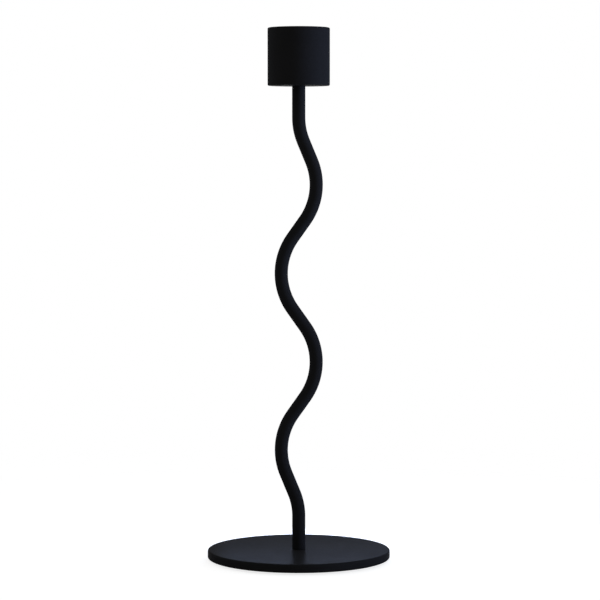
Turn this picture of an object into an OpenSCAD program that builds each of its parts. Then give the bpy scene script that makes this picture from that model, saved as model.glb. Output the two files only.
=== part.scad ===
// A steel candlestick: a round plate, a bar bent into a wave, and a turned cup for one taper candle.
// Millimetres. The origin is the centre of the felt's underside, +Z is up, and the wave lies in the XZ plane.

/* [Base plate] */
// Diameter of the round plate
plate_d = 86; // [60:0.5:140]
// Thickness of the plate
plate_t = 4; // [3:0.5:10]
// Radius that eases the plate's two edges
plate_ease = 0.8; // [0.2:0.1:1.2]

/* [Felt pad] */
// Thickness of the felt under the plate
pad_t = 1; // [0.5:0.25:3]
// How far the felt's edge stays inside the plate's edge
pad_inset = 7; // [2:0.25:15]

/* [Stem] */
// Diameter of the round bar with its coat
bar_d = 6.2; // [5.6:0.1:10]
// How far each crest stands off the stem's axis
wave_reach = 8.2; // [3:0.1:14]
// Height from one crest to the next
wave_pitch = 41.6; // [30:0.1:60]
// Number of crests, left and right together
crest_count = 4; // [2:1:8]
// Straight stretch between two bends
wave_straight = 10; // [2:0.5:25]
// Upright stretch at the foot of the bar
foot_straight = 15.7; // [12:0.1:40]
// Upright stretch under the cup
neck_straight = 14.8; // [12:0.1:40]
// How much thinner the bar is round its bends
bend_thinning = 0.02; // [0.01:0.01:0.2]
// Bevel round each end of the bar
bar_bevel = 0.2; // [0.1:0.05:0.4]

/* [Candle cup] */
// Thickness of the cup's wall, round the candle
cup_wall = 3.3; // [2:0.1:8]
// Height of the cup
cup_h = 27; // [15:0.5:50]
// Thickness of the cup's floor
cup_floor = 5; // [3.5:0.5:8]
// Radius that eases the cup's outer edges
cup_ease = 0.3; // [0.1:0.1:1]
// Bevel round the mouth of the bore
mouth_bevel = 0.5; // [0.2:0.1:1]

/* [Candle] */
// Diameter of the candle's foot
candle_d = 22; // [18:0.5:23]
// Clearance all round the candle's foot
candle_gap = 0.25; // [0.1:0.05:0.5]

/* [Screws] */
// Thread diameter of the screws that hold the plate and the cup
screw_d = 4; // [3:0.5:4]
// Length of each screw over its head
screw_len = 12; // [9:0.5:14]
// Diameter of the countersunk head
head_d = 7.5; // [6.5:0.5:8]
// Straight rim of the head, above its cone
head_rim = 0.3; // [0.2:0.1:0.5]
// How far the head lies below the face that it is sunk into
head_sink = 0.2; // [0.1:0.05:0.4]
// Width of the hexagon socket across its flats
socket_w = 2.5; // [1.5:0.5:2.5]
// Depth of the hexagon socket
socket_depth = 1.4; // [1:0.1:1.6]
// Clearance all round a screw, in the hole that it passes through
hole_gap = 0.25; // [0.1:0.05:0.4]
// Clearance all round a screw in its tapped hole
thread_gap = 0.05; // [0.02:0.01:0.08]
// Depth of the tapped hole past the screw's end
tap_spare = 2; // [1:0.5:4]

/* [Hidden] */

// Cuts run past the faces that they open by this much
overrun = 1;
// Facets round a full turn
round_fn = 96;
// Sides of a hexagon
hex_sides = 6;

coat = [0.075, 0.078, 0.086];
felt = [0.09, 0.09, 0.095];
zinc = [0.72, 0.73, 0.75];

// Heights of the faces on which the pieces seat
plate_z = pad_t;
stem_z = plate_z + plate_t;

// Each crossing goes from upright to upright: a bend, a straight and a bend back.
// One bend radius serves them all, and a crossing from crest to crest sets it.
crest_shift = 2 * wave_reach;
bend_r = (wave_pitch ^ 2 + crest_shift ^ 2 - wave_straight ^ 2) / (4 * crest_shift);

// Height that a crossing takes to move the bar sideways by shift
function crossing_rise(shift) = sqrt(wave_straight ^ 2 + 4 * bend_r * shift - shift ^ 2);

// Angle by which the bar leans on the straight of that crossing
function crossing_lean(shift) =
    let (rise = crossing_rise(shift), past = 2 * bend_r - shift)
    atan2(2 * bend_r * rise - wave_straight * past, 2 * bend_r * past + wave_straight * rise);

// How far the bar leans on its way to or from an upright end, and from crest to crest
lead_lean = crossing_lean(wave_reach);
wave_lean = crossing_lean(crest_shift);

// Height of the first crest over the bar's foot, and of the bar as a whole
lead_rise = crossing_rise(wave_reach);
first_crest = foot_straight + lead_rise;
last_crest = first_crest + (crest_count - 1) * wave_pitch;
stem_h = last_crest + lead_rise + neck_straight;

// A bend is a little thinner than the straights that it meets, and they lap into it by as much
bend_d = bar_d - bend_thinning;
bend_lap = bend_thinning;

cup_z = stem_z + stem_h;
cup_floor_z = cup_z + cup_floor;
bore_d = candle_d + 2 * candle_gap;
cup_d = bore_d + 2 * cup_wall;
bore_depth = cup_h - cup_floor;

// The head's cone widens by as much as it rises
cone_h = (head_d - screw_d) / 2;
socket_d = socket_w / cos(180 / hex_sides);

// Where each screw's head ends, and how far the screw reaches into the bar
base_head_z = plate_z + head_sink;
cup_head_z = cup_floor_z - head_sink;
base_tap = base_head_z + screw_len - stem_z + tap_spare;
cup_tap = cup_z - (cup_head_z - screw_len) + tap_spare;

// The first crest is on the left, and the crests change sides
function crest_side(i) = i % 2 == 0 ? -1 : 1;

// A round disc with eased outer edges, standing on the ground
module eased_disc(d, h, ease) {
    rotate_extrude($fn = round_fn) {
        square([d / 2 - ease, h]);
        translate([0, ease]) square([d / 2, h - 2 * ease]);
        translate([d / 2 - ease, ease]) circle(r = ease, $fn = round_fn);
        translate([d / 2 - ease, h - ease]) circle(r = ease, $fn = round_fn);
    }
}

// A countersunk screw that points down from its head's face, which lies at the ground
module screw() {
    difference() {
        rotate_extrude($fn = round_fn)
            polygon([
                [0, 0],
                [head_d / 2, 0],
                [head_d / 2, -head_rim],
                [screw_d / 2, -head_rim - cone_h],
                [screw_d / 2, -screw_len],
                [0, -screw_len]
            ]);
        translate([0, 0, -socket_depth])
            cylinder(d = socket_d, h = socket_depth + overrun, $fn = hex_sides);
    }
}

// The room for that screw: a sink for its head and a hole right through the wall that it holds
module screw_room(wall) {
    hole_r = screw_d / 2 + hole_gap;
    rim_r = head_d / 2 + hole_gap;
    rotate_extrude($fn = round_fn)
        polygon([
            [0, head_sink + overrun],
            [rim_r, head_sink + overrun],
            [rim_r, hole_gap - head_rim],
            [hole_r, -head_rim - cone_h + hole_gap],
            [hole_r, -wall - overrun],
            [0, -wall - overrun]
        ]);
}

// A bend about a centre in the wave's plane, over part of a turn counted from +X towards +Z
module bend(centre_x, centre_z, start, turn) {
    translate([centre_x, 0, centre_z]) rotate([90, 0, 0])
        rotate_extrude(angle = turn, start = start, $fn = round_fn)
            translate([bend_r, 0]) circle(d = bend_d, $fn = round_fn);
}

// The bend that ends an upright stretch at this height, towards +X
module lead_bend(height) {
    bend(bend_r, height, 180 - lead_lean, lead_lean);
}

// The bend over a crest on the right, at the ground, leaning by these angles below and above it
module crest_bend(lean_below, lean_above) {
    bend(wave_reach - bend_r, 0, -lean_below, lean_below + lean_above);
}

// The straight in the middle of a crossing towards +X, which starts upright at the origin.
// Each of its ends reaches a little way into the bend that it meets.
module crossing_straight(lean) {
    translate([bend_r * (1 - cos(lean)), 0, bend_r * sin(lean)]) rotate([0, lean, 0])
        translate([0, 0, -bend_lap])
            cylinder(d = bar_d, h = wave_straight + 2 * bend_lap, $fn = round_fn);
}

// Draws what follows on the right side of the axis, or mirrored on the left for a side of -1
module on_side(side) {
    mirror([side < 0 ? 1 : 0, 0, 0]) children();
}

// The end of the bar from its bevelled face at the ground: an upright stretch of this height,
// and what leads from it to the bend over a crest on this side
module lead(height, side) {
    cylinder(d1 = bar_d - 2 * bar_bevel, d2 = bar_d, h = bar_bevel, $fn = round_fn);
    translate([0, 0, bar_bevel])
        cylinder(d = bar_d, h = height - bar_bevel + bend_lap, $fn = round_fn);
    on_side(side) {
        lead_bend(height);
        translate([0, 0, height]) crossing_straight(lead_lean);
    }
}

// A tapped hole up from the ground
module tapped_hole(depth) {
    translate([0, 0, -overrun])
        cylinder(d = screw_d + 2 * thread_gap, h = depth + overrun, $fn = round_fn);
}

module felt_pad() {
    color(felt) cylinder(d = plate_d - 2 * pad_inset, h = pad_t, $fn = round_fn);
}

module base_plate() {
    color(coat) translate([0, 0, plate_z])
        difference() {
            eased_disc(plate_d, plate_t, plate_ease);
            translate([0, 0, head_sink]) rotate([180, 0, 0]) screw_room(plate_t);
        }
}

module stem() {
    last = crest_count - 1;
    color(coat) translate([0, 0, stem_z])
        difference() {
            union() {
                lead(foot_straight, crest_side(0));
                for (i = [0 : last])
                    translate([0, 0, first_crest + i * wave_pitch]) on_side(crest_side(i))
                        crest_bend(i == 0 ? lead_lean : wave_lean, i == last ? lead_lean : wave_lean);
                for (i = [0 : last - 1])
                    translate([0, 0, first_crest + i * wave_pitch]) on_side(-crest_side(i))
                        translate([-wave_reach, 0, 0]) crossing_straight(wave_lean);
                translate([0, 0, stem_h]) mirror([0, 0, 1]) lead(neck_straight, crest_side(last));
            }
            tapped_hole(base_tap);
            translate([0, 0, stem_h]) rotate([180, 0, 0]) tapped_hole(cup_tap);
        }
}

module candle_cup() {
    color(coat) translate([0, 0, cup_z])
        difference() {
            eased_disc(cup_d, cup_h, cup_ease);
            translate([0, 0, cup_floor])
                cylinder(d = bore_d, h = bore_depth + overrun, $fn = round_fn);
            translate([0, 0, cup_h - mouth_bevel])
                cylinder(r1 = bore_d / 2, r2 = bore_d / 2 + mouth_bevel + overrun,
                         h = mouth_bevel + overrun, $fn = round_fn);
            translate([0, 0, cup_floor - head_sink]) screw_room(cup_floor);
        }
}

module base_screw() {
    color(zinc) translate([0, 0, base_head_z]) rotate([180, 0, 0]) screw();
}

module cup_screw() {
    color(zinc) translate([0, 0, cup_head_z]) screw();
}

felt_pad();
base_plate();
stem();
candle_cup();
base_screw();
cup_screw();
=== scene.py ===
# %% [markdown]
# A steel candlestick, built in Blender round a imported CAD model.
# The real thing is a round plate, a bar bent into a wave and a turned cup, all powder coated black.
# Two countersunk screws hold it together, and a felt disc under the plate protects the table.
# The CAD model fixes every size and place. Here each piece is modelled again with the finish and
# the fine shape that a close look shows. Lengths are in metres, and Z is up.

# %% Load the frame
import math

import bmesh
import bpy
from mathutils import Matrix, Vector


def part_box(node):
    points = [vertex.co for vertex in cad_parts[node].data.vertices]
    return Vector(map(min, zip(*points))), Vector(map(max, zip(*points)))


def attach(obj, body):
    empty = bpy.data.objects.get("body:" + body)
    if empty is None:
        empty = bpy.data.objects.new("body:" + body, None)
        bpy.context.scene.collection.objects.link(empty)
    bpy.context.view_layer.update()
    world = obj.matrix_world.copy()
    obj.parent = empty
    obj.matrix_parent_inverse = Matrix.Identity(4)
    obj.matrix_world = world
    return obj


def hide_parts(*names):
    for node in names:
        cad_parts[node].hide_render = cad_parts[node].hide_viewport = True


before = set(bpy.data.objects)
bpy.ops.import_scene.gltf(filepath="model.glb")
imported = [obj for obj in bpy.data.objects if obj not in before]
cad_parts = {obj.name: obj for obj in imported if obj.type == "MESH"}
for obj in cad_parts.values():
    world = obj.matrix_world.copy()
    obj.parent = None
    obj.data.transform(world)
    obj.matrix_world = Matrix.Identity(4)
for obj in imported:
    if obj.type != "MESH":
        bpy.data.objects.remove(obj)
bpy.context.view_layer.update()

MM = 0.001
print("CAD pieces:", ", ".join(sorted(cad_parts)))

# %% [markdown]
# The camera comes first, because every later choice is judged through it. A long lens from about a
# metre away keeps the bar's sides straight. It stands a little lower than the cup's rim and looks
# slightly down, so that the cup shows no opening and the plate shows its top as a slim ellipse.
# The view transform is Standard, so that a colour comes out as it is written.

# %% Place the camera
CAMERA_DISTANCE = 1.1
CAMERA_PITCH = math.radians(3.56)
CAMERA_AIM = Vector((0.6 * MM, 0, 122.8 * MM))
LENS = 140.6
SENSOR = 36
VIEW_DEPTH = 20

camera_back = Vector((0, -math.cos(CAMERA_PITCH), math.sin(CAMERA_PITCH)))
bpy.ops.object.camera_add(
    location=CAMERA_AIM + CAMERA_DISTANCE * camera_back,
    rotation=(math.pi / 2 - CAMERA_PITCH, 0, 0),
)
camera = bpy.context.object
camera.name = "camera"
camera.data.sensor_width = SENSOR
camera.data.lens = LENS
camera.data.clip_end = VIEW_DEPTH
bpy.context.scene.camera = camera
bpy.context.scene.view_settings.view_transform = "Standard"
print("camera at", [round(v, 3) for v in camera.location])

# %% [markdown]
# Every material below is a small tree of nodes. In the shader editor these would be added and wired
# with the mouse, and a few helpers do the same here. One adds a node with its settings, one wires
# two sockets, one does sums, and one starts a material from its Principled shader. Inputs are given
# by the names that the editor shows, or by number where a node has several of one name.

# %% Node helpers
def add_node(tree, kind, values=None, **settings):
    """A new node of this kind, with its settings, and its inputs set by name or number."""
    node = tree.nodes.new("ShaderNode" + kind)
    for name, value in settings.items():
        setattr(node, name, value)
    for socket, value in (values or {}).items():
        node.inputs[socket].default_value = value
    return node


def feed(tree, term, socket):
    """Gives an input its value, which is a number, or another node's output that is wired to it."""
    if isinstance(term, bpy.types.NodeSocket):
        tree.links.new(term, socket)
    else:
        socket.default_value = term


def calculate(tree, operation, first, second=0.0, clamp=False):
    """A Math node's result. Each term is a number or a socket."""
    node = add_node(tree, "Math", operation=operation, use_clamp=clamp)
    feed(tree, first, node.inputs[0])
    feed(tree, second, node.inputs[1])
    return node.outputs[0]


def start_material(name):
    """A new material, its tree and its Principled shader."""
    material = bpy.data.materials.new(name)
    material.use_nodes = True
    return material, material.node_tree, material.node_tree.nodes["Principled BSDF"]


# %% [markdown]
# The photograph has a pure white background, which soft light alone does not give. More lamps would
# wash out the black coat, so the world is made to look brighter than it lights. Light Path tells the
# camera's own rays, and those that a glossy or clear surface sends on, from the rays that light the
# scene. The first kind sees a world of exactly white, and the second a much softer one.

# %% Light the world
OPEN_LIGHT = 0.315
WHITE = (1, 1, 1, 1)


def seen_rays(tree):
    """1 on rays from the camera and on those that gloss or glass sends on, and 0 on the others."""
    path = add_node(tree, "LightPath")
    seen = calculate(tree, "MAXIMUM", path.outputs["Is Camera Ray"], path.outputs["Is Glossy Ray"])
    return calculate(tree, "MAXIMUM", seen, path.outputs["Is Transmission Ray"])


world = bpy.data.worlds.new("studio")
world.use_nodes = True
bpy.context.scene.world = world
sky = world.node_tree
backdrop = sky.nodes["Background"]
backdrop.inputs["Color"].default_value = WHITE
added = calculate(sky, "MULTIPLY", seen_rays(sky), 1 - OPEN_LIGHT)
feed(sky, calculate(sky, "ADD", added, OPEN_LIGHT), backdrop.inputs["Strength"])
print("the world shows as 1 and lights with", OPEN_LIGHT)

# %% [markdown]
# The floor is a plain pale sheet that catches the soft shadow. Its paint would come out grey, so it
# glows for the camera and for gloss alone, which lifts it to white where nothing shades it. The less
# of that white comes from the paint, the fainter the shadow is, and the photograph's is very faint.
# A large floor would show a horizon. This one fades to clear further out instead, so that the white
# world takes over without an edge.

# %% Lay the floor
FLOOR_SIZE = 4.0
FLOOR_PAINT = 0.6
FLOOR_OPEN = 1.0
FADE_FROM, FADE_TO = 0.12, 0.45

bpy.ops.mesh.primitive_plane_add(size=FLOOR_SIZE, location=(0, 0, 0))
floor = bpy.context.object
floor.name = "floor"
floor_paint, tree, shader = start_material("floor_paint")
shader.inputs["Base Color"].default_value = (FLOOR_PAINT, FLOOR_PAINT, FLOOR_PAINT, 1)
shader.inputs["Roughness"].default_value = 1
shader.inputs["Specular IOR Level"].default_value = 0
shader.inputs["Emission Color"].default_value = WHITE
glow = calculate(tree, "MULTIPLY", seen_rays(tree), FLOOR_OPEN - FLOOR_PAINT * OPEN_LIGHT)
feed(tree, glow, shader.inputs["Emission Strength"])
floor.data.materials.append(floor_paint)
print("floor of", FLOOR_SIZE, "m, painted", FLOOR_PAINT)

# %% [markdown]
# The fade is a mask. It measures how far a point lies from the middle of the floor, spreads that over
# 0 to 1 with soft ends, and mixes the painted surface with a clear one.

# %% Fade the floor out
place = add_node(tree, "TexCoord")
away = add_node(tree, "VectorMath", operation="LENGTH")
feed(tree, place.outputs["Object"], away.inputs[0])
fade = add_node(
    tree, "MapRange", {"From Min": FADE_FROM, "From Max": FADE_TO}, interpolation_type="SMOOTHSTEP"
)
feed(tree, away.outputs["Value"], fade.inputs["Value"])
mixed = add_node(tree, "MixShader")
feed(tree, fade.outputs["Result"], mixed.inputs["Fac"])
feed(tree, shader.outputs["BSDF"], mixed.inputs[1])
feed(tree, add_node(tree, "BsdfTransparent").outputs["BSDF"], mixed.inputs[2])
feed(tree, mixed.outputs["Shader"], tree.nodes["Material Output"].inputs["Surface"])
print("the floor fades from", FADE_FROM, "to", FADE_TO, "m")

# %% [markdown]
# Three lamps give the cool light of the photograph. A soft box on the right, almost level with the
# object and with its beam held together by a narrow spread, lights the right half of the cup and of
# the bar and leaves the plate's top dark. A weak pale one behind on the left draws a thin lighter
# line down the left edges. A weak low strip close behind is only seen as its reflection in the
# plate, which turns slate blue and grows darker towards its rear rim. One large lamp would be
# simpler, but it would light the plate's top from above and hide the dark reflection at the foot of
# the bar.

# %% Hang the lamps
COOL = (0.50, 0.63, 1.0)
PALE = (0.85, 0.90, 1.0)


def hang_lamp(name, place, aim, size, watts, colour, spread=180):
    """A rectangular soft lamp that faces its aim and that the camera can't see. Spread is in degrees."""
    turn = (Vector(aim) - Vector(place)).to_track_quat("-Z", "Y").to_euler()
    bpy.ops.object.light_add(type="AREA", location=place, rotation=turn)
    lamp = bpy.context.object
    lamp.name = name
    lamp.data.shape = "RECTANGLE"
    lamp.data.size, lamp.data.size_y = size
    lamp.data.energy = watts
    lamp.data.color = colour
    lamp.data.spread = math.radians(spread)
    lamp.visible_camera = False
    print(f"{name}: {watts} W")


hang_lamp(
    "side_lamp",
    place=(0.95, -0.10, 0.18),
    aim=(0, 0, 0.26),
    size=(0.4, 0.4),
    watts=1.0,
    colour=COOL,
    spread=45,
)
hang_lamp(
    "edge_lamp",
    place=(-0.62, 0.42, 0.12),
    aim=(0, 0, 0.24),
    size=(0.3, 0.2),
    watts=0.2,
    colour=PALE,
    spread=60,
)
hang_lamp(
    "rear_strip",
    place=(0.04, 0.09, 0.035),
    aim=(0.05, -0.02, 0),
    size=(0.16, 0.015),
    watts=0.11,
    colour=COOL,
)

# %% [markdown]
# A node group is an effect with named inputs and outputs, built once and placed in each material
# with its own values. It could be copied into each material instead, but then a later change would
# have to be made three times. Each input starts at a middling value, and a material sets its own
# where it needs another. The groups here put out only masks and heights, and the Principled shader
# stays in the material.

# %% Start a group
def start_group(name, inputs, outputs):
    """An empty group of float sockets: its tree, its input node and its output node."""
    group = bpy.data.node_groups.new(name, "ShaderNodeTree")
    for label, value in inputs.items():
        socket = group.interface.new_socket(label, in_out="INPUT", socket_type="NodeSocketFloat")
        socket.default_value = value
    for label in outputs:
        group.interface.new_socket(label, in_out="OUTPUT", socket_type="NodeSocketFloat")
    return group, group.nodes.new("NodeGroupInput"), group.nodes.new("NodeGroupOutput")


def place_group(tree, group, **values):
    """Puts a group into a material and sets its inputs. An underscore stands for a space."""
    node = tree.nodes.new("ShaderNodeGroup")
    node.node_tree = group
    for label, value in values.items():
        node.inputs[label.replace("_", " ")].default_value = value
    return node


# %% [markdown]
# Noise is the start of each effect. It is laid on Object coordinates, which are metres on the piece
# itself, so that a grain keeps its size on the wide plate and on the thin bar. Generated coordinates
# would stretch it with each piece's box instead. The steepen helper then turns the soft noise into
# patches, by spreading a part of its range over 0 to 1.

# %% Noise helpers
def object_noise(tree, scale, detail=2.0, roughness=0.5, vector=None, curl=0.0):
    """Noise on Object coordinates. Scale is in cells per metre, as a number or a socket."""
    noise = add_node(tree, "TexNoise", {"Detail": detail, "Roughness": roughness, "Distortion": curl})
    feed(tree, vector or add_node(tree, "TexCoord").outputs["Object"], noise.inputs["Vector"])
    feed(tree, scale, noise.inputs["Scale"])
    return noise.outputs["Fac"]


def steepen(tree, value, low, high):
    """Spreads the range from low to high over 0 to 1, with soft ends."""
    node = add_node(
        tree, "MapRange", {"From Min": low, "From Max": high}, interpolation_type="SMOOTHSTEP"
    )
    feed(tree, value, node.inputs["Value"])
    return node.outputs["Result"]


# %% [markdown]
# Powder coat is sprayed on as dry grains that melt together in an oven. They never flow quite flat:
# the skin keeps low, round swells about a millimetre across, called orange peel, with a finer sandy
# grain on a matt coat. A picture of such a skin could be wrapped round each piece, but it would show
# seams and repeats. Two layers of noise give that height without either. The group also puts out the
# grain alone and a slow mottle, for the changes of shade over the part.

# %% Orange peel
MOTTLES_A_METRE = 60.0
GRAIN_RANGE = (0.4, 0.7)
MOTTLE_RANGE = (0.3, 0.7)
PEEL_INPUTS = {"Swells": 900.0, "Sand": 6000.0, "Sand Share": 0.3}

peel, given, result = start_group("orange_peel", PEEL_INPUTS, ["Height", "Grain", "Mottle"])
swell = object_noise(peel, given.outputs["Swells"], detail=1.0)
sand = object_noise(peel, given.outputs["Sand"], detail=2.0, roughness=0.6)
fine = calculate(peel, "MULTIPLY", sand, given.outputs["Sand Share"])
feed(peel, calculate(peel, "ADD", swell, fine), result.inputs["Height"])
feed(peel, steepen(peel, sand, *GRAIN_RANGE), result.inputs["Grain"])
mottle = object_noise(peel, MOTTLES_A_METRE, detail=4.0, roughness=0.65)
feed(peel, steepen(peel, mottle, *MOTTLE_RANGE), result.inputs["Mottle"])
print("group:", peel.name)

# %% [markdown]
# Handling polishes the edges of a coated part first. Painting that by hand would need a picture, so
# it is found from the shape. The Bevel node gives the normal that a rounded edge would have, and
# where it leaves the real normal there is an edge. Noise breaks the line up, because no edge is
# rubbed evenly.

# %% Edge rub
EDGE_RANGE = (0.0, 0.15)
PATCH_RANGE = (0.35, 0.7)
BEVEL_RAYS = 4
RUB_INPUTS = {"Width": 0.45 * MM, "Patches": 300.0, "Amount": 0.5}

rub, given, result = start_group("edge_rub", RUB_INPUTS, ["Mask"])
rounded = add_node(rub, "Bevel", samples=BEVEL_RAYS)
feed(rub, given.outputs["Width"], rounded.inputs["Radius"])
likeness = add_node(rub, "VectorMath", operation="DOT_PRODUCT")
feed(rub, rounded.outputs["Normal"], likeness.inputs[0])
feed(rub, add_node(rub, "NewGeometry").outputs["Normal"], likeness.inputs[1])
edge = steepen(rub, calculate(rub, "SUBTRACT", 1.0, likeness.outputs["Value"]), *EDGE_RANGE)
patches = steepen(rub, object_noise(rub, given.outputs["Patches"], detail=3.0), *PATCH_RANGE)
worn = calculate(rub, "MULTIPLY", edge, patches)
feed(rub, calculate(rub, "MULTIPLY", worn, given.outputs["Amount"], clamp=True), result.inputs["Mask"])
print("group:", rub.name)

# %% [markdown]
# Dust settles on what faces up, as scattered specks on a thin even film. Specks could be strewn as
# tiny objects, but at this size a change of colour is enough. The normal's upward part gives the
# place, and fine noise cut off high gives the specks. On a clean black part the dust has to stay
# almost invisible, or the coat turns grey.

# %% Settled dust
SPECKS_A_METRE = 2500.0
CLOUDS_A_METRE = 90.0
UPWARD_RANGE = (0.6, 1.0)
SPECK_RANGE = (0.68, 0.74)
DUST_INPUTS = {"Film": 0.1, "Specks": 0.4}

dust, given, result = start_group("settled_dust", DUST_INPUTS, ["Mask"])
facing = add_node(dust, "SeparateXYZ")
feed(dust, add_node(dust, "NewGeometry").outputs["Normal"], facing.inputs[0])
upward = steepen(dust, facing.outputs["Z"], *UPWARD_RANGE)
specks = steepen(dust, object_noise(dust, SPECKS_A_METRE, detail=1.0), *SPECK_RANGE)
specks = calculate(dust, "MULTIPLY", specks, given.outputs["Specks"])
film = object_noise(dust, CLOUDS_A_METRE, detail=3.0)
film = calculate(dust, "MULTIPLY", film, given.outputs["Film"])
lying = calculate(dust, "ADD", specks, film)
feed(dust, calculate(dust, "MULTIPLY", lying, upward, clamp=True), result.inputs["Mask"])
print("group:", dust.name)

# %% [markdown]
# A mask does nothing until it chooses between two colours. The Mix node does that. It has a set of
# sockets for numbers, one for vectors and one for colours under the same names, so the helper finds
# the colour ones by their identifiers. Layers of wear then build up like coats of paint, each laid
# over the colour below.

# %% Blend two colours
def blend_colours(tree, share, first, second):
    """A colour that goes from the first to the second as share goes from 0 to 1."""
    node = add_node(tree, "Mix", data_type="RGBA")
    feed(tree, share, node.inputs["Factor"])
    for name, colour in (("A_Color", first), ("B_Color", second)):
        socket = next(s for s in node.inputs if s.identifier == name)
        feed(tree, (*colour, 1) if isinstance(colour, tuple) else colour, socket)
    return next(s for s in node.outputs if s.identifier == "Result_Color")


# %% [markdown]
# The black coat is one recipe for the plate, the bar and the cup. Its colour is a nearly neutral
# black, a touch lighter on the grain, where it is mottled and at rubbed edges. Seen from the front
# the coat gives back almost no gloss, and only at a low angle, as on the plate's top, does it mirror
# the white surroundings. So the gloss is set very weak, and the roughness to a satin level.
# Each piece gets its own grain and wear: the plate catches the dust, and the cup is rubbed most at
# its rim. One material for all three would be shorter, but then all would be worn alike.

# %% Black powder coat
BLACK = (0.0118, 0.0117, 0.0122)
WORN_BLACK = (0.0142, 0.0140, 0.0146)
GRAIN_BLACK = (0.0200, 0.0198, 0.0205)
RUBBED = (0.030, 0.030, 0.031)
DUST = (0.10, 0.097, 0.092)
COAT_GLOSS = 0.00035
COAT_ROUGHNESS = 0.33
UNEVEN = 0.05
POLISH = 0.12
PEEL_DEPTH = 0.03 * MM
SAND_TO_SWELLS = 6.5
SWELLS_A_PATCH = 3
TOUCH_RANGE = (0.3, 0.8)


def black_coat(name, swells, rub_amount, dust_film, dust_specks, touches):
    """The black powder coat, with a grain and a wear of its own."""
    material, tree, shader = start_material(name)
    skin = place_group(tree, peel, Swells=swells, Sand=swells * SAND_TO_SWELLS)
    worn = place_group(tree, rub, Patches=swells / SWELLS_A_PATCH, Amount=rub_amount)
    lying = place_group(tree, dust, Film=dust_film, Specks=dust_specks)
    colour = blend_colours(tree, skin.outputs["Mottle"], BLACK, WORN_BLACK)
    colour = blend_colours(tree, skin.outputs["Grain"], colour, GRAIN_BLACK)
    colour = blend_colours(tree, worn.outputs["Mask"], colour, RUBBED)
    colour = blend_colours(tree, lying.outputs["Mask"], colour, DUST)
    feed(tree, colour, shader.inputs["Base Color"])
    touched = steepen(tree, object_noise(tree, touches, detail=3.0, roughness=0.7), *TOUCH_RANGE)
    rough = calculate(tree, "MULTIPLY", touched, UNEVEN)
    rough = calculate(tree, "ADD", rough, COAT_ROUGHNESS - UNEVEN / 2)
    polished = calculate(tree, "MULTIPLY", worn.outputs["Mask"], POLISH)
    feed(tree, calculate(tree, "SUBTRACT", rough, polished), shader.inputs["Roughness"])
    shader.inputs["Specular IOR Level"].default_value = COAT_GLOSS
    bump = add_node(tree, "Bump", {"Strength": 1.0, "Distance": PEEL_DEPTH})
    feed(tree, skin.outputs["Height"], bump.inputs["Height"])
    feed(tree, bump.outputs["Normal"], shader.inputs["Normal"])
    print("coat:", name)
    return material


plate_coat = black_coat(
    "plate_coat", swells=850.0, rub_amount=0.4, dust_film=0.004, dust_specks=0.03, touches=35.0
)
bar_coat = black_coat(
    "bar_coat", swells=1000.0, rub_amount=0.5, dust_film=0.002, dust_specks=0.02, touches=42.0
)
cup_coat = black_coat(
    "cup_coat", swells=950.0, rub_amount=0.8, dust_film=0.002, dust_specks=0.02, touches=48.0
)

# %% [markdown]
# Modelling by hand is a chain of small edits, each on what is selected. These helpers do the clicks:
# one clears the selection, one opens a new primitive in edit mode, and one picks faces, edges or
# points by a test on their place. Everything is deselected first, because an operator acts on all
# that is selected. Places nearer than SLIP count as the same, and a face is level when its normal
# points up or down by more than LEVEL.

# %% Select by place
SLIP = 0.01 * MM
LEVEL = 0.999


def deselect():
    """Leaves nothing selected, in object mode."""
    if bpy.context.object and bpy.context.object.mode != "OBJECT":
        bpy.ops.object.mode_set(mode="OBJECT")
    bpy.ops.object.select_all(action="DESELECT")


def begin(name):
    """Names the new primitive, clears its place and opens it in edit mode."""
    piece = bpy.context.object
    piece.name = name
    piece.data.name = name
    bpy.ops.object.transform_apply(location=True, rotation=True, scale=True)
    bpy.ops.object.mode_set(mode="EDIT")
    return piece


def pick(piece, kind, test):
    """Selects the FACE, EDGE or VERT elements for which the test is true."""
    bpy.ops.mesh.select_mode(type=kind)
    bpy.ops.mesh.select_all(action="DESELECT")
    mesh = bmesh.from_edit_mesh(piece.data)
    for element in {"FACE": mesh.faces, "EDGE": mesh.edges, "VERT": mesh.verts}[kind]:
        if test(element):
            element.select_set(True)
    bmesh.update_edit_mesh(piece.data)


def from_axis(point):
    """Distance of a point from the upright axis."""
    return math.hypot(point.x, point.y)


def cap_at(height):
    """A test for the level face that spans the axis at this height."""
    return lambda face: (
        abs(face.normal.z) > LEVEL
        and abs(face.calc_center_median().z - height) < SLIP
        and from_axis(face.calc_center_median()) < SLIP
    )


def ring_at(height, radius):
    """A test for the level ring of edges at this height and distance from the axis."""
    return lambda edge: all(
        abs(v.co.z - height) < SLIP and abs(from_axis(v.co) - radius) < SLIP for v in edge.verts
    )


# %% [markdown]
# The next helpers shape what is selected: push it out as an extrusion, narrow it towards the axis,
# or round its edges. The last one is for shading. A large flat face beside a rounded edge would be
# shaded as if it bulged, so a narrow border is inset round it, and the shading bends only there.

# %% Shape the selection
HOLD = 0.04 * MM


def push(x=0.0, y=0.0, z=0.0):
    """Extrudes the selection by this much."""
    bpy.ops.mesh.extrude_region_move(TRANSFORM_OT_translate={"value": (x, y, z)})


def taper(share, height):
    """Scales the selection about the axis, at its height."""
    bpy.ops.transform.resize(value=(share, share, 1), center_override=(0, 0, height))


def round_edges(radius, segments, profile=0.5):
    """Rounds the selected edges."""
    bpy.ops.mesh.bevel(offset=radius, segments=segments, profile=profile, affect="EDGES")


def hold(piece, test):
    """Sets a narrow border round the chosen faces."""
    pick(piece, "FACE", test)
    bpy.ops.mesh.inset(thickness=HOLD, use_even_offset=True)


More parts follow.
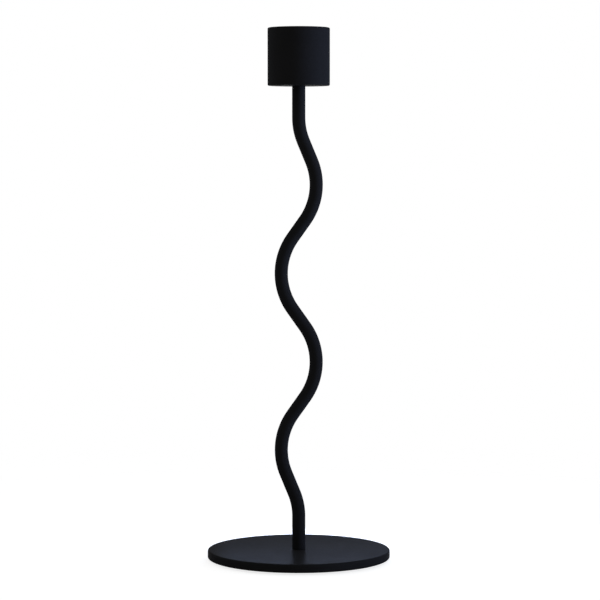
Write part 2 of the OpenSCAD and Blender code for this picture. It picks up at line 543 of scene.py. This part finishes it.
# %% [markdown]
# Each piece ends the same way. Its doubled points are merged and its faces turned outward, it is
# shaded smooth up to an angle, and it gets its finish. Then it is tied to the body that it belongs
# to, and takes the place of its CAD node. What it measures is printed, with a count of open edges,
# which is 0 on a closed solid.

# %% Finish a piece
SMOOTH_ANGLE = 35
MERGE_GAP = SLIP / 20


def finish_shape(piece, smooth=SMOOTH_ANGLE):
    """Merges doubles, turns the faces outward, leaves edit mode and shades by angle."""
    bpy.ops.mesh.select_all(action="SELECT")
    bpy.ops.mesh.remove_doubles(threshold=MERGE_GAP)
    bpy.ops.mesh.normals_make_consistent(inside=False)
    bpy.ops.object.mode_set(mode="OBJECT")
    bpy.ops.object.shade_smooth_by_angle(angle=math.radians(smooth))


def measure(piece):
    """Prints a piece's size in millimetres, its faces, its volume and whether it is closed."""
    mesh = bmesh.new()
    mesh.from_mesh(piece.data)
    open_edges = sum(not e.is_manifold for e in mesh.edges)
    size = [round(d / MM, 2) for d in piece.dimensions]
    volume = mesh.calc_volume(signed=True) / MM ** 3
    print(f"{piece.name}: {size} mm, {len(mesh.faces)} faces, {volume:.0f} mm3, open edges {open_edges}")
    mesh.free()


def dress(piece, material, node):
    """Gives the piece its finish, and puts it in the place of its CAD node."""
    piece.data.materials.clear()
    piece.data.materials.append(material)
    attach(piece, "root")
    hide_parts(node)
    measure(piece)


# %% [markdown]
# Both ends of the bar are held by the same countersunk screw, so its sizes and those of its seat are
# settled once. A seat is cut from a level face: a face inset to the head's width is pushed in for
# the rim and again for the cone, which narrows to the hole. A Boolean with a cone would give the
# same shape, but leaves long thin faces that shade badly.

# %% Seats for the screws
SCREW_R = 2.0 * MM
SCREW_LENGTH = 12.0 * MM
HEAD_R = 3.75 * MM
HEAD_RIM = 0.3 * MM
HEAD_CONE = HEAD_R - SCREW_R
HEAD_SINK = 0.2 * MM
HOLE_GAP = 0.25 * MM
HOLE_R = SCREW_R + HOLE_GAP
SEAT_R = HEAD_R + HOLE_GAP


def sink_seat(z, flat_r, way):
    """Sinks a seat from the selected level face of radius flat_r at z, up or down by way."""
    bpy.ops.mesh.inset(thickness=flat_r - SEAT_R)
    rim = HEAD_SINK + HEAD_RIM - HOLE_GAP
    seat_end = z + way * (rim + HEAD_CONE)
    push(z=way * rim)
    push(z=way * HEAD_CONE)
    taper(HOLE_R / SEAT_R, seat_end)
    return seat_end


def open_hole(piece, first_z, second_z):
    """Takes away the two faces that close a hole and bridges the gap between them."""
    pick(piece, "FACE", lambda face: cap_at(first_z)(face) or cap_at(second_z)(face))
    bpy.ops.mesh.delete(type="FACE")
    pick(piece, "EDGE", lambda edge: edge.is_boundary)
    bpy.ops.mesh.bridge_edge_loops()


# %% [markdown]
# The base is a disc cut from 4 mm sheet, with both edges eased so that the coat doesn't chip there.
# It starts as a cylinder. Its edges are rounded first, while they are easy to pick, then the seat is
# sunk from below, and last the hole is opened through to the top. Turning a profile with the Spin
# tool would do as well, but here each step is one that a workshop would take too.

# %% Base plate
plate_low, plate_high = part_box("base_plate")
PLATE_R = (plate_high.x - plate_low.x) / 2
PLATE_EASE = 0.8 * MM
PLATE_SIDES = 256
PLATE_EASE_STEPS = 7

deselect()
bpy.ops.mesh.primitive_cylinder_add(
    vertices=PLATE_SIDES,
    radius=PLATE_R,
    depth=plate_high.z - plate_low.z,
    location=(0, 0, (plate_low.z + plate_high.z) / 2),
)
plate = begin("plate")
pick(plate, "EDGE", lambda e: ring_at(plate_low.z, PLATE_R)(e) or ring_at(plate_high.z, PLATE_R)(e))
round_edges(PLATE_EASE, PLATE_EASE_STEPS)
hold(plate, lambda face: abs(face.normal.z) > LEVEL)
flat_r = PLATE_R - PLATE_EASE - HOLD
pick(plate, "FACE", cap_at(plate_low.z))
seat_end = sink_seat(plate_low.z, flat_r, 1)
pick(plate, "FACE", cap_at(plate_high.z))
bpy.ops.mesh.inset(thickness=flat_r - HOLE_R)
open_hole(plate, seat_end, plate_high.z)
finish_shape(plate)
dress(plate, plate_coat, "base_plate")

# %% [markdown]
# The stem is one steel bar, bent cold over a former, so all its bends have the former's radius, with
# a short straight between each two. The radius and the lean of each straight aren't chosen. They
# follow from how far apart the crests are, how far they stand off the axis and how long the
# straights are, and are worked out here as on a setting-out drawing.

# %% Set out the bar
BAR_R = 3.1 * MM
REACH = 8.2 * MM
PITCH = 41.6 * MM
STRAIGHT = 10.0 * MM
FOOT_STRAIGHT = 15.7 * MM
NECK_STRAIGHT = 14.8 * MM
CRESTS = 4
CREST_SHIFT = 2 * REACH
BEND_R = (PITCH ** 2 + CREST_SHIFT ** 2 - STRAIGHT ** 2) / (4 * CREST_SHIFT)


def lean_for(shift):
    """Lean of the straight, in a crossing that moves the bar sideways by shift."""
    rise = math.sqrt(STRAIGHT ** 2 + 4 * BEND_R * shift - shift ** 2)
    past = 2 * BEND_R - shift
    return math.atan2(2 * BEND_R * rise - STRAIGHT * past, 2 * BEND_R * past + STRAIGHT * rise)


LEAD_LEAN = lean_for(REACH)
WAVE_LEAN = lean_for(CREST_SHIFT)
turns = [-LEAD_LEAN, LEAD_LEAN + WAVE_LEAN]
turns += [2 * WAVE_LEAN * (-1 if crest % 2 == 0 else 1) for crest in range(CRESTS - 2)]
turns += [-(LEAD_LEAN + WAVE_LEAN), LEAD_LEAN]
print("bend radius", round(BEND_R / MM, 3), "mm")
print("bends of", [round(math.degrees(t), 1) for t in turns], "degrees")

# %% [markdown]
# The bar is drawn as it was made. A round face is pushed straight up, turned about the centre of the
# first bend with the Spin tool, pushed straight again, and so on to the top. A curve with a round
# profile would be quicker, but its bends are only nearly round, and these are exact. The Spin tool
# turns the other way from the lean, hence its minus sign.

# %% Push and turn
DEGREES_A_STEP = 2.0


def push_bar(end, lean, length):
    """Pushes the bar's end straight on, and returns where it is then."""
    step = length * Vector((math.sin(lean), 0, math.cos(lean)))
    push(*step)
    return end + step


def turn_bar(end, lean, turn):
    """Spins the bar's end about a bend's centre. A turn above zero leans it further to the right."""
    side = math.copysign(BEND_R, turn)
    centre = end + side * Vector((math.cos(lean), 0, -math.sin(lean)))
    steps = max(1, round(abs(math.degrees(turn)) / DEGREES_A_STEP))
    bpy.ops.mesh.spin(steps=steps, angle=-turn, center=centre, axis=(0, 1, 0), use_auto_merge=False)
    lean += turn
    return centre - side * Vector((math.cos(lean), 0, -math.sin(lean))), lean


# %% [markdown]
# Now the whole bar is one loop over its bends. Each turn is followed by a straight, and the last
# straight is the longer one under the cup. The bar's end is followed in numbers on the way, so it
# can be checked against the height at which the CAD model says that the cup sits.

# %% Bend the bar
BAR_SIDES = 64
stem_low, stem_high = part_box("stem")

deselect()
bpy.ops.mesh.primitive_circle_add(
    vertices=BAR_SIDES, radius=BAR_R, fill_type="NGON", location=(0, 0, stem_low.z)
)
bar = begin("waved_bar")
bpy.ops.mesh.select_mode(type="FACE")
bpy.ops.mesh.select_all(action="SELECT")
lean = 0.0
end = push_bar(Vector((0, 0, stem_low.z)), lean, FOOT_STRAIGHT)
for number, turn in enumerate(turns):
    end, lean = turn_bar(end, lean, turn)
    end = push_bar(end, lean, NECK_STRAIGHT if number == len(turns) - 1 else STRAIGHT)
print("the bar ends at", [round(v / MM, 2) for v in end], "and the CAD's at", round(stem_high.z / MM, 2))

# %% [markdown]
# Each end of the bar is faced square, with a fine bevel, and has a tapped hole for its screw. The
# hole is an inset face pushed into the bar, and its bottom is drawn to a shallow point, as a drill
# leaves it. A Boolean with a cylinder would cut it too, but a pushed face needs no second object.
# None of this shows once the candlestick is put together, but a closed and drilled bar is a true
# part by itself.

# %% Drill the bar
END_BEVEL = 0.2 * MM
END_BEVEL_STEPS = 2
THREAD_GAP = 0.05 * MM
TAP_R = SCREW_R + THREAD_GAP
TAP_SPARE = 2.0 * MM
DRILL_POINT = 0.6 * MM
CUP_FLOOR = 5.0 * MM
cup_low, cup_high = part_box("candle_cup")
plate_head_z = plate_low.z + HEAD_SINK
cup_head_z = cup_low.z + CUP_FLOOR - HEAD_SINK


def tap_end(z, way, depth):
    """Bevels the bar's end at z and drills it, up or down by way."""
    pick(bar, "EDGE", ring_at(z, BAR_R))
    round_edges(END_BEVEL, END_BEVEL_STEPS)
    hold(bar, cap_at(z))
    bpy.ops.mesh.inset(thickness=BAR_R - END_BEVEL - HOLD - TAP_R)
    push(z=way * depth)
    push(z=way * DRILL_POINT)
    bpy.ops.mesh.merge(type="CENTER")


tap_end(stem_low.z, 1, plate_head_z + SCREW_LENGTH - stem_low.z + TAP_SPARE)
tap_end(stem_high.z, -1, stem_high.z - (cup_head_z - SCREW_LENGTH) + TAP_SPARE)
finish_shape(bar)
dress(bar, bar_coat, "stem")

# %% [markdown]
# The cup is turned from round steel: straight outside, and bored for a candle, with a flat floor for
# it to stand on. It starts as a cylinder. The bore is an inset face pushed down, the screw's seat
# goes into its floor, and the hole is opened through to the underside. A profile turned with the
# Spin tool would give the same cup, but here the bore, the seat and the hole can each be changed
# alone. Edit mode stays open, because the edges are broken in the next step.

# %% Bore the cup
CUP_R = (cup_high.x - cup_low.x) / 2
BORE_R = 11.25 * MM
CUP_SIDES = 192
cup_floor_z = cup_low.z + CUP_FLOOR

deselect()
bpy.ops.mesh.primitive_cylinder_add(
    vertices=CUP_SIDES,
    radius=CUP_R,
    depth=cup_high.z - cup_low.z,
    location=(0, 0, (cup_low.z + cup_high.z) / 2),
)
cup = begin("cup")
pick(cup, "FACE", cap_at(cup_high.z))
bpy.ops.mesh.inset(thickness=CUP_R - BORE_R)
push(z=cup_floor_z - cup_high.z)
seat_end = sink_seat(cup_floor_z, BORE_R, -1)
pick(cup, "FACE", cap_at(cup_low.z))
bpy.ops.mesh.inset(thickness=CUP_R - HOLE_R)
open_hole(cup, seat_end, cup_low.z)
print("bore", round(2 * BORE_R / MM, 1), "mm wide and", round((cup_high.z - cup_floor_z) / MM, 1), "mm deep")

# %% [markdown]
# On a lathe the sharp edges are broken last. Outside they get a small even round, which softens the
# cup's corners in the photograph a little. The mouth gets a flatter one, so that a candle finds its
# way in, and the corner of the floor keeps the tool's own small radius. A Bevel modifier would round
# every edge alike, so each ring is picked and rounded by itself.

# %% Break the cup's edges
CUP_EASE = 0.6 * MM
MOUTH_BEVEL = 0.5 * MM
MOUTH_PROFILE = 0.35
FLOOR_CORNER = 0.4 * MM
CUP_EASE_STEPS = 5
LONG_FACE = 10 * MM
WIDE_FACE = 0.3 * MM ** 2

pick(cup, "EDGE", lambda e: ring_at(cup_low.z, CUP_R)(e) or ring_at(cup_high.z, CUP_R)(e))
round_edges(CUP_EASE, CUP_EASE_STEPS)
pick(cup, "EDGE", ring_at(cup_high.z, BORE_R))
round_edges(MOUTH_BEVEL, CUP_EASE_STEPS, MOUTH_PROFILE)
pick(cup, "EDGE", ring_at(cup_floor_z, BORE_R))
round_edges(FLOOR_CORNER, CUP_EASE_STEPS)
hold(cup, lambda f: abs(f.normal.z) < 1 - LEVEL and max(e.calc_length() for e in f.edges) > LONG_FACE)
hold(cup, lambda f: abs(f.normal.z) > LEVEL and f.calc_area() > WIDE_FACE)
finish_shape(cup)
dress(cup, cup_coat, "candle_cup")

# %% [markdown]
# Zinc plating is a thin bright layer with a faint bluish cast. A turned head shows very fine rings
# about its axis, and the plating dulls in patches. A picture of scratched metal could be wrapped
# round it, but the rings are simply a wave of the distance from the axis, so they are worked out.

# %% Zinc plated steel
ZINC = (0.62, 0.63, 0.66)
DULL_ZINC = (0.42, 0.43, 0.46)
ZINC_ROUGHNESS = 0.25
DULL_ROUGHNESS = 0.2
RING_PITCH = 0.12 * MM
RING_DEPTH = 0.0015 * MM
DULL_SPOTS_A_METRE = 700.0
DULL_RANGE = (0.35, 0.75)

bright_zinc, tree, shader = start_material("bright_zinc")
level = add_node(tree, "VectorMath", {1: (1, 1, 0)}, operation="MULTIPLY")
feed(tree, add_node(tree, "TexCoord").outputs["Object"], level.inputs[0])
out = add_node(tree, "VectorMath", operation="LENGTH")
feed(tree, level.outputs["Vector"], out.inputs[0])
waves = calculate(tree, "MULTIPLY", out.outputs["Value"], 2 * math.pi / RING_PITCH)
rings = calculate(tree, "SINE", waves)
dulled = steepen(tree, object_noise(tree, DULL_SPOTS_A_METRE, detail=3.0), *DULL_RANGE)
feed(tree, blend_colours(tree, dulled, ZINC, DULL_ZINC), shader.inputs["Base Color"])
rough = calculate(tree, "ADD", calculate(tree, "MULTIPLY", dulled, DULL_ROUGHNESS), ZINC_ROUGHNESS)
feed(tree, rough, shader.inputs["Roughness"])
shader.inputs["Metallic"].default_value = 1
bump = add_node(tree, "Bump", {"Strength": 1.0, "Distance": RING_DEPTH})
feed(tree, rings, bump.inputs["Height"])
feed(tree, bump.outputs["Normal"], shader.inputs["Normal"])
print("finish:", bright_zinc.name)

# %% [markdown]
# Each screw is a countersunk one with a hexagon socket. The socket's floor comes first, a hexagon
# whose sides are divided so that they meet a round head point by point. It is pushed up to the
# head's face and bridged to a circle there. From that circle the head's rim, its cone and a short
# plain neck are pushed down. A Boolean would cut the socket in one step, but it would leave long thin
# faces round it. The screw stands upright at the origin until it is whole.

# %% Head of the screw
SOCKET_FLATS = 2.5 * MM
SOCKET_DEPTH = 1.4 * MM
HEX_SIDES = 6
SIDE_PARTS = 8
NECK = 1.0 * MM
NECK_END = -HEAD_RIM - HEAD_CONE - NECK
SCREW_SMOOTH = 25

deselect()
hexagon_r = SOCKET_FLATS / 2 / math.cos(math.pi / HEX_SIDES)
bpy.ops.mesh.primitive_circle_add(vertices=HEX_SIDES, radius=hexagon_r, location=(0, 0, -SOCKET_DEPTH))
screw = begin("foot_screw")
bpy.ops.mesh.select_all(action="SELECT")
bpy.ops.mesh.subdivide(number_cuts=SIDE_PARTS - 1)
bpy.ops.mesh.edge_face_add()
push(z=SOCKET_DEPTH)
bpy.ops.mesh.delete(type="ONLY_FACE")
bpy.ops.mesh.primitive_circle_add(vertices=HEX_SIDES * SIDE_PARTS, radius=HEAD_R, location=(0, 0, 0))
pick(screw, "EDGE", lambda edge: len(edge.link_faces) < 2)
bpy.ops.mesh.bridge_edge_loops()
pick(screw, "EDGE", lambda edge: edge.is_boundary)
push(z=-HEAD_RIM)
push(z=-HEAD_CONE)
taper(SCREW_R / HEAD_R, -HEAD_RIM - HEAD_CONE)
push(z=-NECK)
bpy.ops.mesh.edge_face_add()
finish_shape(screw, SCREW_SMOOTH)
measure(screw)

# %% [markdown]
# A thread is one tooth wound round the screw. It would be easier to leave the thread to a bump map,
# but the screw's outline would stay smooth. The tooth starts as a plane standing on edge, open
# towards the axis and narrowed outwards, so that it is as high as the pitch at its root and almost
# sharp at its crest.

# %% Tooth of the thread
THREAD_PITCH = 0.7 * MM
THREAD_DEPTH = 0.4 * MM
CREST = 0.1 * MM
LAP = 0.3 * MM
thread_top = NECK_END + LAP
tooth_r = SCREW_R - THREAD_DEPTH / 2

deselect()
bpy.ops.mesh.primitive_plane_add(size=1, rotation=(math.pi / 2, 0, 0), location=(tooth_r, 0, thread_top))
bpy.context.object.scale = (THREAD_DEPTH, THREAD_PITCH, 1)
thread = begin("thread")
pick(thread, "EDGE", lambda edge: all(v.co.x < tooth_r for v in edge.verts))
bpy.ops.mesh.delete(type="EDGE_FACE")
pick(thread, "VERT", lambda vertex: vertex.co.x > tooth_r)
bpy.ops.transform.resize(value=(1, 1, CREST / THREAD_PITCH), center_override=(tooth_r, 0, thread_top))
bpy.ops.object.mode_set(mode="OBJECT")
print("a tooth of", round(THREAD_DEPTH / MM, 2), "by", round(THREAD_PITCH / MM, 2), "mm")

# %% [markdown]
# The Screw modifier turns the tooth and lifts it by one pitch in each turn, so that one turn meets
# the next and the thread has no gaps. Stacked rings would be simpler, but they wouldn't climb. It
# starts a little above the neck and ends below the screw, and two level cuts with filled ends trim
# it to length. Minus signs wind it downwards as a right-handed thread.

# %% Wind the thread
TURN_STEPS = 48
SPARE_TURNS = 2
START_SHIFT = 1.07 * THREAD_PITCH
CUT_SLIP = SLIP / 100

wind = thread.modifiers.new("wind", "SCREW")
wind.steps = TURN_STEPS
wind.render_steps = TURN_STEPS
wind.angle = -2 * math.pi
wind.screw_offset = -THREAD_PITCH
wind.iterations = math.ceil((thread_top + SCREW_LENGTH) / THREAD_PITCH) + SPARE_TURNS
bpy.ops.object.modifier_apply(modifier=wind.name)
thread.location.z = START_SHIFT
bpy.ops.object.transform_apply(location=True)
bpy.ops.object.mode_set(mode="EDIT")
bpy.ops.mesh.select_all(action="SELECT")
bpy.ops.mesh.remove_doubles(threshold=SLIP)
for height, up in ((thread_top, 1), (-SCREW_LENGTH, -1)):
    bpy.ops.mesh.select_all(action="SELECT")
    bpy.ops.mesh.bisect(
        plane_co=(0, 0, height), plane_no=(0, 0, up), use_fill=True, clear_outer=True, threshold=CUT_SLIP
    )
finish_shape(thread, SCREW_SMOOTH)
measure(thread)

# %% [markdown]
# Head and thread overlap a little at the neck, and a Boolean union makes them one closed solid. That
# screw is copied with a mesh of its own. The copy keeps its head up and goes into the floor of the
# cup, and the first is turned over and goes up through the plate. Their places are applied, so that
# both objects sit at the origin.

# %% Join the thread and place both screws
deselect()
screw.select_set(True)
bpy.context.view_layer.objects.active = screw
joined = screw.modifiers.new("join", "BOOLEAN")
joined.operation = "UNION"
joined.solver = "EXACT"
joined.object = thread
bpy.ops.object.modifier_apply(modifier=joined.name)
bpy.ops.object.shade_smooth_by_angle(angle=math.radians(SCREW_SMOOTH))
bpy.data.objects.remove(thread)
bpy.ops.object.duplicate()
top_screw = bpy.context.object
top_screw.name = "top_screw"
top_screw.location.z = cup_head_z
bpy.ops.object.transform_apply(location=True)
deselect()
screw.select_set(True)
bpy.context.view_layer.objects.active = screw
screw.location.z = plate_head_z
screw.rotation_euler.x = math.pi
bpy.ops.object.transform_apply(location=True, rotation=True)
dress(screw, bright_zinc, "base_screw")
dress(top_screw, bright_zinc, "cup_screw")

# %% [markdown]
# Felt is a mat of tangled fibres, with no threads or weave. Close up it is cloudy, with fine hairs
# in all directions. So three noises are each drawn out along a direction of their own and curled a
# little, and the strongest of them shows. The Mapping node works as Texture, which turns first and
# stretches then. As Point it would stretch all three along one axis, and the felt would look combed.
# Felt also scatters light back at low angles, which the shader's sheen gives.

# %% Felt
FELT_DARK = (0.006, 0.006, 0.0065)
FELT_LIGHT = (0.022, 0.022, 0.024)
HAIR_STRETCH = (9, 1, 1)
HAIR_TURNS = (0.3, 1.4, 2.4)
HAIRS_A_METRE = 3500.0
HAIR_CURL = 1.2
HAIR_RANGE = (0.45, 0.8)
CLUMPS_A_METRE = 250.0
CLUMP_RANGE = (0.2, 0.8)
NAP_DEPTH = 0.06 * MM
FELT_ROUGHNESS = 0.95
FELT_GLOSS = 0.1
FELT_SHEEN = 0.15

black_felt, tree, shader = start_material("black_felt")
place = add_node(tree, "TexCoord")
tangle = 0.0
for turn in HAIR_TURNS:
    drawn = add_node(
        tree, "Mapping", {"Rotation": (0, 0, turn), "Scale": HAIR_STRETCH}, vector_type="TEXTURE"
    )
    feed(tree, place.outputs["Object"], drawn.inputs["Vector"])
    along = drawn.outputs["Vector"]
    hair = object_noise(tree, HAIRS_A_METRE, detail=3.0, roughness=0.6, vector=along, curl=HAIR_CURL)
    tangle = calculate(tree, "MAXIMUM", hair, tangle)
clumps = steepen(tree, object_noise(tree, CLUMPS_A_METRE, detail=4.0, roughness=0.6), *CLUMP_RANGE)
lit = calculate(tree, "MULTIPLY", steepen(tree, tangle, *HAIR_RANGE), clumps)
feed(tree, blend_colours(tree, lit, FELT_DARK, FELT_LIGHT), shader.inputs["Base Color"])
shader.inputs["Roughness"].default_value = FELT_ROUGHNESS
shader.inputs["Specular IOR Level"].default_value = FELT_GLOSS
shader.inputs["Sheen Weight"].default_value = FELT_SHEEN
bump = add_node(tree, "Bump", {"Strength": 1.0, "Distance": NAP_DEPTH})
feed(tree, tangle, bump.inputs["Height"])
feed(tree, bump.outputs["Normal"], shader.inputs["Normal"])
print("finish:", black_felt.name)

# %% [markdown]
# The pad is a disc punched from 1 mm felt with an adhesive back. A punched edge is never crisp, so
# its edges are rounded well. Both faces are divided into rings by repeated insets, because the next
# step moves their points and a single large face could not be moved.

# %% Cut the felt disc
pad_low, pad_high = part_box("felt_pad")
PAD_R = (pad_high.x - pad_low.x) / 2
PAD_SIDES = 256
PAD_RINGS = 24
PAD_EASE = 0.3 * MM
PAD_EASE_STEPS = 3
PAD_SMOOTH = 60

deselect()
bpy.ops.mesh.primitive_cylinder_add(
    vertices=PAD_SIDES,
    radius=PAD_R,
    depth=pad_high.z - pad_low.z,
    location=(0, 0, (pad_low.z + pad_high.z) / 2),
)
pad = begin("felt_disc")
pick(pad, "EDGE", lambda e: ring_at(pad_low.z, PAD_R)(e) or ring_at(pad_high.z, PAD_R)(e))
round_edges(PAD_EASE, PAD_EASE_STEPS)
for z in (pad_low.z, pad_high.z):
    pick(pad, "FACE", cap_at(z))
    for ring in range(PAD_RINGS):
        bpy.ops.mesh.inset(thickness=(PAD_R - PAD_EASE) / (PAD_RINGS + 1))
finish_shape(pad, PAD_SMOOTH)
print("felt of", round((pad_high.z - pad_low.z) / MM, 2), "mm,", len(pad.data.vertices), "points")

# %% [markdown]
# Pressed felt is never quite even. A Displace modifier with a cloud texture moves its points a few
# hundredths of a millimetre, always inwards, so that the disc stays within its own thickness. Cloth
# simulation would be no use here, because the disc is glued flat.

# %% Make the felt uneven
NAP_CELL = 1.2 * MM
NAP_LAYERS = 3
NAP_MOVE = 0.05 * MM

nap = bpy.data.textures.new("nap", "CLOUDS")
nap.noise_scale = NAP_CELL
nap.noise_depth = NAP_LAYERS
uneven = pad.modifiers.new("uneven", "DISPLACE")
uneven.texture = nap
uneven.texture_coords = "LOCAL"
uneven.strength = NAP_MOVE
uneven.mid_level = 1.0
bpy.ops.object.modifier_apply(modifier=uneven.name)
dress(pad, black_felt, "felt_pad")
